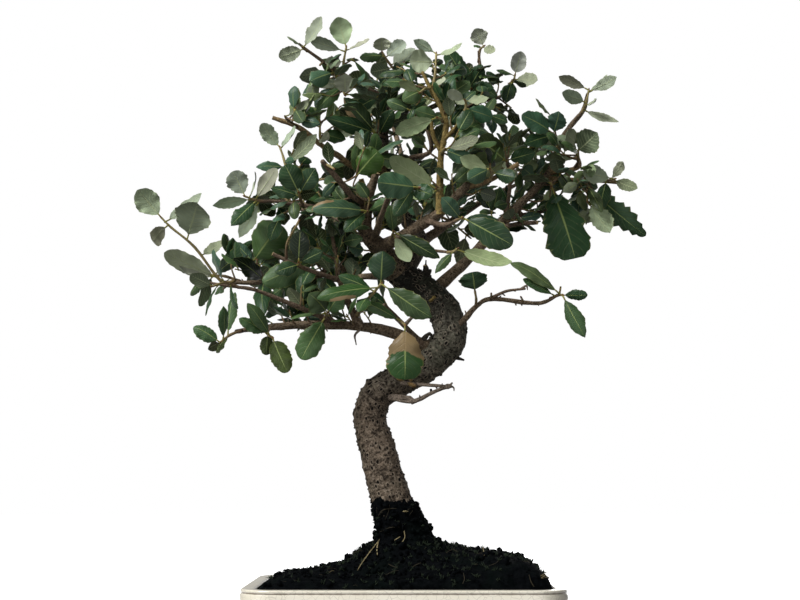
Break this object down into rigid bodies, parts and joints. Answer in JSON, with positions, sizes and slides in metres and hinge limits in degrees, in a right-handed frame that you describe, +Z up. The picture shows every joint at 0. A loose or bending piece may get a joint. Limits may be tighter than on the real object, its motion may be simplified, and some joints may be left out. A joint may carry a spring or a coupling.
{
  "type": "cork oak bonsai",
  "caption": "Small evergreen oak trained as a bonsai: curved trunk, leathery toothed leaves, dark peat soil mound, shallow cream glazed pot with feet.",
  "frame": {"origin": "middle of the whole tree's footprint, on the bench under the pot", "axes": "+Z up, +X to the right as seen from the front, the front of the tree looks along -Y"},
  "size_m": [0.413, 0.317, 0.5438],
  "materials": {
    "glazed_pot": "gloss",
    "drain_mesh": "matte",
    "peat_soil": "matte",
    "bark": "matte",
    "leaf": "satin"
  },
  "bodies": {
    "root": {"pot": "glazed_pot", "drain_mesh_left": "drain_mesh", "drain_mesh_right": "drain_mesh", "soil": "peat_soil", "trunk": "bark", "spray_outer_left_tip": "leaf", "spray_upper_left_end": "leaf", "spray_thin_left_end": "leaf", "spray_low_left_tip": "leaf", "spray_low_left_hanging": "leaf", "spray_low_left_middle": "leaf", "spray_big_green_left": "leaf", "spray_upright_left": "leaf", "spray_left_shoulder_tip": "leaf", "spray_left_shoulder_pair": "leaf", "spray_left_middle_twig": "leaf", "spray_high_left_cut": "leaf", "spray_high_left_twig": "leaf", "spray_high_left_broad": "leaf", "spray_top_left_tip": "leaf", "spray_top_left_round": "leaf", "spray_top_centre_left": "leaf", "spray_top_centre": "leaf", "spray_golden_top": "leaf", "spray_top_dark": "leaf", "spray_top_right_twig": "leaf", "spray_right_top_tip": "leaf", "spray_centre_high": "leaf", "spray_long_pale_left": "leaf", "spray_centre_long_pale": "leaf", "spray_golden_side": "leaf", "spray_centre_olive": "leaf", "spray_front_bluish": "leaf", "spray_front_low": "leaf", "spray_golden_cut_leaves": "leaf", "spray_right_shoulder": "leaf", "spray_right_tip": "leaf", "spray_right_broad": "leaf", "spray_right_outer_tip": "leaf", "spray_big_drooping": "leaf", "spray_curled_right": "leaf", "spray_low_right_end": "leaf", "spray_low_right_first": "leaf", "spray_long_pale_right": "leaf", "spray_bright_centre": "leaf", "spray_by_the_trunk": "leaf", "spray_half_brown": "leaf", "spray_dark_oval_left": "leaf", "spray_brown_tipped": "leaf", "spray_bright_green_left": "leaf", "spray_tan_edged": "leaf", "spray_right_back_low": "leaf", "spray_back_left_far": "leaf", "spray_back_right_far": "leaf", "spray_back_high": "leaf", "spray_back_low": "leaf", "spray_back_middle": "leaf", "spray_back_crown": "leaf"}
  },
  "joints": []
}
